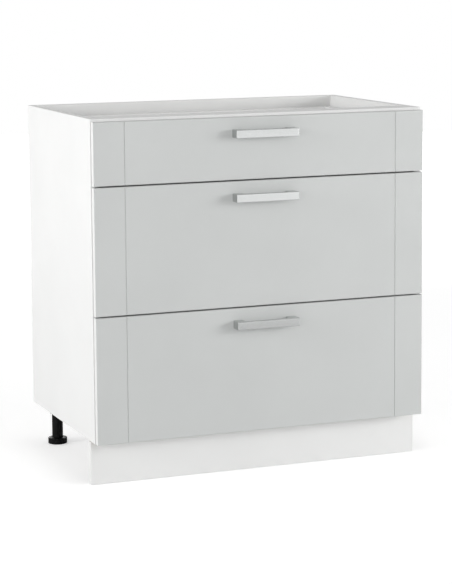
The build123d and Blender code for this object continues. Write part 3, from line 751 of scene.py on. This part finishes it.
# ---------------- legs
class CABINET_OT_legs(bpy.types.Operator):
    """Sockets with gussets, fluted posts and levelling feet with a thread and a grip rim"""

    bl_idname = "cabinet.legs"
    bl_label = "Legs and feet"

    def execute(self, context):
        sizes = context.scene.cabinet_legs
        self.sockets(sizes)
        self.posts(sizes)
        for node in sorted(n for n in BODY_OF if n.startswith("leg_foot_")):
            self.foot(node, sizes)
        return {"FINISHED"}

    @staticmethod
    def sockets(sizes):
        sunk = 1.0 * MM  # how far a gusset enters the collar
        toe = 4.0 * MM  # from the collar's lower end to the gusset's
        tip = 1.5 * MM  # the gusset's height at its outer end
        half, reach = sizes.rib_thickness / 2, sizes.rib_reach
        bm = merged_copy("leg_sockets")
        for lo, hi, _ in solids_of("leg_sockets"):
            under_plate = hi.z - sizes.plate
            rib = slab((sizes.collar - sunk, -half, lo.z + toe), (reach, half, under_plate))
            for vert in rib.verts:
                if vert.co.x > reach - WELD and vert.co.z < under_plate - WELD:
                    vert.co.z = under_plate - tip
            soften(rib, rib.edges[:], width=0.3 * MM, segments=1)
            for number in range(sizes.rib_count):
                turn = Matrix.Rotation((number + 0.5) * 2 * pi / sizes.rib_count, 4, "Z")
                join(bm, rib, upright(lo, hi) @ turn, keep=True)
            rib.free()
        make_piece(bm, "leg_sockets_ribbed", "leg_sockets", ("black_plastic",))

    @staticmethod
    def posts(sizes):
        bevel, bore_bevel = 0.8 * MM, 0.5 * MM
        lower_band, upper_band = 4.0 * MM, 23.0 * MM  # the post's ends stay plain
        lower_slope, upper_slope = 0.6 * MM, 1.0 * MM
        bm = bmesh.new()
        for lo, hi, _ in solids_of("leg_posts"):
            radius = (hi.x - lo.x) / 2
            valley = radius - sizes.flute_depth
            profile = (
                (0.0, sizes.bore_top), (sizes.bore, sizes.bore_top),
                (sizes.bore, lo.z + bore_bevel), (sizes.bore + bore_bevel, lo.z),
                (radius - bevel, lo.z), (radius, lo.z + bevel),
                (radius, lo.z + lower_band), (valley, lo.z + lower_band + lower_slope),
                (valley, hi.z - upper_band - upper_slope), (radius, hi.z - upper_band),
                (radius, hi.z), (0.0, hi.z),
            )
            post = turned(profile, WAVE_STEPS * sizes.flute_count)
            for vert in post.verts:
                if abs(vert.co.xy.length - valley) < WELD:
                    rise = sizes.flute_depth * wave(vert, sizes.flute_count)
                    vert.co.xy *= 1 + rise / valley
            join(bm, post, upright(lo, hi))
        make_piece(bm, "leg_posts_fluted", "leg_posts", ("black_plastic",), sharp=35.0)

    @staticmethod
    def foot(node, sizes):
        lo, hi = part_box(node)
        radius = (hi.x - lo.x) / 2
        top, stem = sizes.foot_thickness, sizes.stem
        core = stem - sizes.thread_depth
        shaded_hollow, slope, ring = 0.6 * MM, 0.8 * MM, 4.2 * MM  # the foot stands on its ring
        lower, upper = 1.0 * MM, 1.5 * MM  # rounds of the rim
        grip_low, grip_high = lo.z + 2.0 * MM, top - 2.4 * MM
        groove_inner, groove_outer, groove_depth = 0.6 * MM, 2.0 * MM, 0.4 * MM  # round the stem
        shoulder, run_out, tip = 2.0 * MM, 0.7 * MM, 1.0 * MM
        profile = (
            (0.0, lo.z + shaded_hollow), (radius - ring - slope, lo.z + shaded_hollow), (radius - ring, lo.z),
            (radius - lower, lo.z), (radius - EASE * lower, lo.z + EASE * lower),
            (radius, lo.z + lower), (radius, grip_low), (radius, grip_high),
            (radius, top - upper), (radius - EASE * upper, top - EASE * upper),
            (radius - upper, top), (stem + groove_outer, top),
            (stem + groove_inner, top - groove_depth), (stem, top), (stem, top + shoulder),
            (core, top + shoulder + run_out), (core, hi.z - tip), (core - tip, hi.z), (0.0, hi.z),
        )
        foot = turned(profile, WAVE_STEPS * sizes.grip_count)
        for vert in foot.verts:
            flat = vert.co.xy.length
            if flat > radius - WELD and grip_low - WELD < vert.co.z < grip_high + WELD:
                notch = sizes.grip_depth * wave(vert, sizes.grip_count) ** 3
                vert.co.xy *= 1 - notch / flat
        start, plain, pitch = hi.z - 1.5 * MM, 4.0 * MM, sizes.thread_pitch
        turns = int((start - top - plain) / pitch)
        thread(foot, core, stem, start, pitch, turns, steps=24)
        foot.transform(upright(lo, hi))
        make_piece(foot, f"{node}_pad", node, ("black_plastic",), sharp=35.0)


# ---------------- screws, nails and pads
# Profiles as shares of the radius and height of a head or a stop pad.
PAN_HEAD = ((0.72, 0.0), (0.93, 0.14), (1.0, 0.4), (1.0, 1.0))
FLAT_HEAD = ((0.96, 0.0), (1.0, 0.3), (1.0, 1.0))
NAIL_HEAD = ((0.0, 0.0), (0.5, 0.08), (0.85, 0.35), (1.0, 0.75), (1.0, 1.0))
PAD = ((0.0, 0.0), (1.0, 0.0), (1.0, 0.25), (0.86, 0.62), (0.6, 0.88), (0.3, 0.98), (0.0, 1.0))
QUARTER = 6  # points round a quarter of a screw


def screw_places(node):
    """Places on the heads' tops with +Z outwards, head radii and lengths of screws or nails."""
    places = []
    for lo, hi, points in solids_of(node):
        size, middle = hi - lo, (lo + hi) / 2
        axis = max(range(3), key=lambda each: size[each])
        along = Vector([float(each == axis) for each in range(3)])
        widest = max(points, key=lambda co: (co - middle - along * (co - middle)[axis]).length)
        way = along if widest[axis] > middle[axis] else -along
        head = Matrix.Translation(middle + way * size[axis] / 2)
        out = way.to_track_quat("Z", "Y").to_matrix().to_4x4()
        turn = Matrix.Rotation(len(places) * pi / 5, 4, "Z")  # turns each from the last
        radius = max(size[axis - 1], size[axis - 2]) / 2
        places.append((head @ out @ turn, radius, size[axis]))
    return places


def ring(bm, radius, height):
    """A closed loop of points about Z."""
    place = Matrix.Translation((0, 0, height))
    made = bmesh.ops.create_circle(bm, radius=radius, segments=4 * QUARTER, matrix=place)
    return made["verts"]


def edges_among(verts):
    """The edges that join these points."""
    inside = set(verts)
    return {edge for vert in verts for edge in vert.link_edges if edge.other_vert(vert) in inside}


def bridge(bm, first, second):
    """Makes the wall between two loops."""
    bmesh.ops.bridge_loops(bm, edges=[*edges_among(first), *edges_among(second)])


def cap(bm, verts):
    """Closes a loop with a face."""
    bmesh.ops.contextual_create(bm, geom=list(edges_among(verts)))


def cross_ring(bm, reach, height):
    """A closed loop of points round a plus sign."""
    half = 0.3 * reach  # half of an arm's width
    between = (reach + half) / 2
    quarter = (
        (reach, 0.0), (reach, half), (between, half), (half, half), (half, between), (half, reach),
    )
    verts = ring(bm, reach, height)
    for number, vert in enumerate(verts):
        along, across = quarter[number % QUARTER]
        turn = Matrix.Rotation(number // QUARTER * pi / 2, 3, "Z")
        vert.co = turn @ Vector((-across, along, height))
    return verts


def cross_screw(head, length, sizes, pan):
    """A cross-recess screw below the XY plane, its head's top at the origin."""
    if pan:
        shank, thick = 0.5 * head, sizes.pan_height
        profile = scaled(PAN_HEAD, head, -thick)
    else:
        shank, rim = 0.547 * head, 0.2 * MM
        thick = head - shank + rim
        profile = scaled(FLAT_HEAD, head, -rim)
    core = 0.8 * shank
    tip = 0.3 * core
    profile += [(core, -thick), (core, head - length), (tip, -length)]
    bm = bmesh.new()
    recess = cross_ring(bm, reach=0.55 * head, height=0.0)
    floor = cross_ring(bm, reach=0.36 * head, height=-0.45 * thick)
    bridge(bm, recess, floor)
    cap(bm, floor)
    previous = recess
    for radius, height in profile:
        current = ring(bm, radius, height)
        bridge(bm, previous, current)
        previous = current
    cap(bm, previous)
    pitch = sizes.thread_pitch
    turns = int((length - head - thick - (1 + RIDGE) * pitch) / pitch)
    thread(bm, core, shank, -thick - pitch, pitch, turns, steps=12)
    bmesh.ops.recalc_face_normals(bm, faces=bm.faces)
    return bm


class CABINET_OT_fasteners(bpy.types.Operator):
    """Screws with a cross recess and a thread, domed nails and stop pads"""

    bl_idname = "cabinet.fasteners"
    bl_label = "Fasteners"

    def execute(self, context):
        sizes = context.scene.cabinet_fasteners
        self.screws("carcass_screws", sizes)
        for drawer in DRAWERS:
            self.screws(f"box_screws_{drawer}", sizes)
            self.screws(f"handle_screws_{drawer}", sizes, pan=True)
        self.nails(sizes)
        self.pads()
        return {"FINISHED"}

    @staticmethod
    def screws(node, sizes, pan=False):
        bm = bmesh.new()
        for place, head, length in screw_places(node):
            join(bm, cross_screw(head, length, sizes, pan), place)
        make_piece(bm, f"{node}_cross", node, ("screw_steel",))

    @staticmethod
    def nails(sizes):
        shank, thick = sizes.nail, sizes.nail_head
        point = 3 * shank
        bm = bmesh.new()
        for place, head, length in screw_places("back_nails"):
            profile = scaled(NAIL_HEAD, head, -thick)
            profile += [(shank, -thick), (shank, point - length), (0.0, -length)]
            join(bm, turned(profile, segments=20), place)
        make_piece(bm, "back_nails_domed", "back_nails", ("screw_steel",), sharp=60.0)

    @staticmethod
    def pads():
        bm = bmesh.new()
        for lo, hi, _ in solids_of("bumper_pads"):
            pad = turned(scaled(PAD, (hi.x - lo.x) / 2, hi.y - lo.y), segments=24)
            seat = Vector(((lo.x + hi.x) / 2, hi.y, (lo.z + hi.z) / 2))
            join(bm, pad, Matrix.Translation(seat) @ Matrix.Rotation(pi / 2, 4, "X"))
        make_piece(bm, "stop_pads", "bumper_pads", ("pad_plastic",), sharp=60.0)


# ---------------- plinth clips
class CABINET_OT_clips(bpy.types.Operator):
    """Moulded clips that hold the plinth on the front legs"""

    bl_idname = "cabinet.clips"
    bl_label = "Plinth clips"

    def execute(self, context):
        bm = merged_copy("plinth_clips")
        soften(bm, corners(bm, 50.0), context.scene.cabinet_legs.clip_round)
        make_piece(bm, "plinth_clips_moulded", "plinth_clips", ("clip_plastic",))
        return {"FINISHED"}


# ---------------- release levers
class CABINET_OT_levers(bpy.types.Operator):
    """Release levers in the drawers' slide channels"""

    bl_idname = "cabinet.levers"
    bl_label = "Release levers"

    def execute(self, context):
        sizes = context.scene.cabinet_levers
        for drawer in DRAWERS:
            bm = bmesh.new()
            for lo, hi, _ in solids_of(f"slide_inner_{drawer}"):
                side = 1 if lo.x > 0 else -1
                web = (lo.x if side > 0 else hi.x) + side * sizes.metal
                place = Matrix.Translation((web, lo.y + sizes.setback, (lo.z + hi.z) / 2))
                join(bm, self.lever(sizes), place @ Matrix.Diagonal((side, 1, 1, 1)))
            levers = make_object(bm, f"release_levers_{drawer}", ("black_plastic",))
            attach(levers, BODY_OF[f"slide_inner_{drawer}"])
        return {"FINISHED"}

    def lever(self, sizes):
        """A bowed arm from a pivot at the origin to a pad at -Y, its back on the YZ plane."""
        half, bends = sizes.width / 2, 8
        bm = slab((0, -sizes.length, -half), (sizes.thickness, 0, half))
        for bend in range(1, bends):
            cut(bm, (0, -sizes.length * bend / bends, 0), (0, 1, 0))
        for vert in bm.verts:
            vert.co.z += sizes.bow * sin(-pi * vert.co.y / sizes.length)
        soften(bm, corners(bm), width=0.35 * MM)
        self.thumb_pad(bm, sizes)
        self.pivot(bm, sizes)
        return bm

    @staticmethod
    def thumb_pad(bm, sizes):
        overlap, half, thick = 2.0 * MM, 0.9 * sizes.width, 1.7 * sizes.thickness
        near = overlap - sizes.length
        far = near - sizes.pad
        pad = slab((0, far, -half), (thick, near, half))
        soften(pad, pad.edges[:], width=0.8 * MM, segments=3)
        join(bm, pad)
        ribs, first, step, breadth = 4, 2.0 * MM, 2.2 * MM, 0.9 * MM
        sunk, proud, inset = 0.3 * MM, 0.5 * MM, 1.0 * MM
        for number in range(ribs):
            y = far + first + step * number
            rib = slab(
                (thick - sunk, y, inset - half), (thick + proud, y + breadth, half - inset)
            )
            soften(rib, rib.edges[:], width=0.2 * MM, segments=1)
            join(bm, rib)

    @staticmethod
    def pivot(bm, sizes):
        rim, pin, thick = 1.05 * sizes.width, 0.5 * sizes.width, 1.25 * sizes.thickness
        rim_bevel, pin_bevel, proud = 0.5 * MM, 0.4 * MM, 0.8 * MM
        profile = (
            (0.0, 0.0), (rim, 0.0), (rim, thick - rim_bevel), (rim - rim_bevel, thick),
            (pin, thick), (pin, thick + proud - pin_bevel),
            (pin - pin_bevel, thick + proud), (0.0, thick + proud),
        )
        join(bm, turned(profile, segments=28), Matrix.Rotation(pi / 2, 4, "Y"))


# ---------------- finishes on the frame's nodes
class CABINET_OT_finishes(bpy.types.Operator):
    """Gives every node of the frame the finish of its material slot"""

    bl_idname = "cabinet.finishes"
    bl_label = "Finishes"

    def execute(self, context):
        for node, shown in frame["nodes"].items():
            for slot in shown.material_slots:
                slot.material = finish(SLOT_OF[node])
        return {"FINISHED"}


# ---------------- studio
AIM = Vector((0, 0, 0.45))  # the softboxes face it
SOFTBOXES = {  # place and size
    "left_softbox": ((-4.6, -0.4, 1.6), (2.4, 1.0)),
    "right_softbox": ((3.4, -2.6, 1.2), (2.2, 1.2)),
    "front_softbox": ((-3.4, -3.4, 1.2), (2.2, 1.2)),
    "rear_softbox": ((0.8, 4.6, 0.45), (3.0, 0.7)),
}


class CABINET_OT_studio(bpy.types.Operator):
    """Pale floor, soft lights and the camera"""

    bl_idname = "cabinet.studio"
    bl_label = "Studio"

    def execute(self, context):
        settings = context.scene.cabinet_studio
        self.camera(context, settings)
        self.floor(settings)
        self.world(context, settings)
        for name, (place, size) in SOFTBOXES.items():
            self.softbox(name, getattr(settings, name), place, size)
        context.scene.view_settings.view_transform = "Standard"
        return {"FINISHED"}

    @staticmethod
    def camera(context, settings):
        data = bpy.data.cameras.new("camera")
        data.lens = settings.lens
        data.shift_y = settings.shift
        camera = new_object("camera", data)
        heading = Euler((pi / 2 - settings.camera_dip, 0, -settings.camera_turn)).to_matrix()
        turn = heading @ Matrix.Rotation(-settings.camera_roll, 3, "Z")
        camera.matrix_world = Matrix.Translation(settings.camera_place) @ turn.to_4x4()
        context.scene.camera = camera

    def floor(self, settings):
        bm = bmesh.new()
        bmesh.ops.create_circle(bm, cap_ends=True, radius=settings.floor_radius, segments=96)
        bmesh.ops.translate(bm, vec=(0, 0, -settings.floor_clearance), verts=bm.verts)
        mesh = new_mesh(bm, "floor")
        mesh.materials.append(self.pale_floor(settings))
        floor = new_object("floor", mesh)

    @staticmethod
    def pale_floor(settings):
        """A matt floor that keeps shadows and turns white further out."""
        material = bpy.data.materials.new("pale_floor")
        material.use_nodes = True
        nodes = Nodes(material.node_tree)
        nodes.tree.nodes.clear()
        place = nodes.node("ShaderNodeTexCoord")["Object"]
        away = nodes.node("ShaderNodeVectorMath", {0: place}, operation="LENGTH")["Value"]
        path = nodes.node("ShaderNodeLightPath")
        reach = (settings.near_reach, settings.far_reach)
        # The camera sees both lifts, a mirror only the far one, other light neither.
        strength = 0.0
        for ray, near in (
            ("Is Glossy Ray", 0.0),
            ("Is Transmission Ray", settings.near_lift),
            ("Is Camera Ray", settings.near_lift),
        ):
            lift = nodes.spread(away, near, settings.far_lift, reach)
            strength = nodes.spread(path[ray], strength, lift)
        white = (*[settings.floor_white] * 3, 1.0)
        matt = nodes.node("ShaderNodeBsdfDiffuse", {"Color": white})[0]
        glow = nodes.node("ShaderNodeEmission", {"Strength": strength})[0]
        both = nodes.node("ShaderNodeAddShader", {0: matt, 1: glow})[0]
        nodes.node("ShaderNodeOutputMaterial", {"Surface": both})
        return material

    @staticmethod
    def world(context, settings):
        """Light from all around; the camera sees plain white."""
        world = bpy.data.worlds.new("studio")
        context.scene.world = world
        world.use_nodes = True
        nodes = Nodes(world.node_tree)
        place = nodes.node("ShaderNodeTexCoord")["Generated"]
        height = nodes.node("ShaderNodeSeparateXYZ", {0: place})["Z"]
        path = nodes.node("ShaderNodeLightPath")
        light = nodes.spread(height, settings.horizon, settings.zenith)
        mirrored = nodes.spread(height, 1.0, settings.mirrored_zenith)
        strength = nodes.spread(path["Is Glossy Ray"], light, mirrored)
        for ray in ("Is Transmission Ray", "Is Camera Ray"):
            strength = nodes.spread(path[ray], strength, 1.0)
        background = nodes.tree.nodes["Background"].inputs
        nodes.feed(background["Color"], (1.0, 1.0, 1.0, 1.0))
        nodes.feed(background["Strength"], strength)

    @staticmethod
    def softbox(name, power, place, size):
        data = bpy.data.lights.new(name, "AREA")
        data.shape = "RECTANGLE"
        data.size, data.size_y = size
        data.energy = power
        lamp = new_object(name, data)
        lamp.visible_camera = False
        lamp.location = place
        lamp.rotation_mode = "QUATERNION"
        lamp.rotation_quaternion = (AIM - Vector(place)).to_track_quat("-Z", "Y")


# ---------------- panel and registration
OPERATORS = (
    CABINET_OT_boards,
    CABINET_OT_fronts,
    CABINET_OT_handles,
    CABINET_OT_legs,
    CABINET_OT_fasteners,
    CABINET_OT_clips,
    CABINET_OT_levers,
    CABINET_OT_finishes,
    CABINET_OT_studio,
)
SETTINGS = {
    "cabinet_boards": BoardSettings,
    "cabinet_fronts": FrontSettings,
    "cabinet_handles": HandleSettings,
    "cabinet_legs": LegSettings,
    "cabinet_levers": LeverSettings,
    "cabinet_fasteners": FastenerSettings,
    "cabinet_finishes": FinishSettings,
    "cabinet_studio": StudioSettings,
}


class CABINET_PT_panel(bpy.types.Panel):
    """The cabinet's operators and settings"""

    bl_idname = "CABINET_PT_panel"
    bl_label = "Base Cabinet"
    bl_space_type = "VIEW_3D"
    bl_region_type = "UI"
    bl_category = "Cabinet"

    def draw(self, context):
        for operator in OPERATORS:
            self.layout.operator(operator.bl_idname)
        for name, group in SETTINGS.items():
            box = self.layout.box()
            box.label(text=group.__doc__)
            for entry in group.__annotations__:
                box.prop(getattr(context.scene, name), entry)


def register():
    for group in SETTINGS.values():
        bpy.utils.register_class(group)
    for name, group in SETTINGS.items():
        setattr(bpy.types.Scene, name, PointerProperty(type=group))
    for operator in OPERATORS:
        bpy.utils.register_class(operator)
    bpy.utils.register_class(CABINET_PT_panel)


def unregister():
    bpy.utils.unregister_class(CABINET_PT_panel)
    for operator in reversed(OPERATORS):
        bpy.utils.unregister_class(operator)
    for name, group in SETTINGS.items():
        delattr(bpy.types.Scene, name)
        bpy.utils.unregister_class(group)


def main():
    """Builds everything."""
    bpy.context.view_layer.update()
    register()
    for operator in OPERATORS:
        family, name = operator.bl_idname.split(".")
        getattr(getattr(bpy.ops, family), name)()


if __name__ == "__main__":
    main()
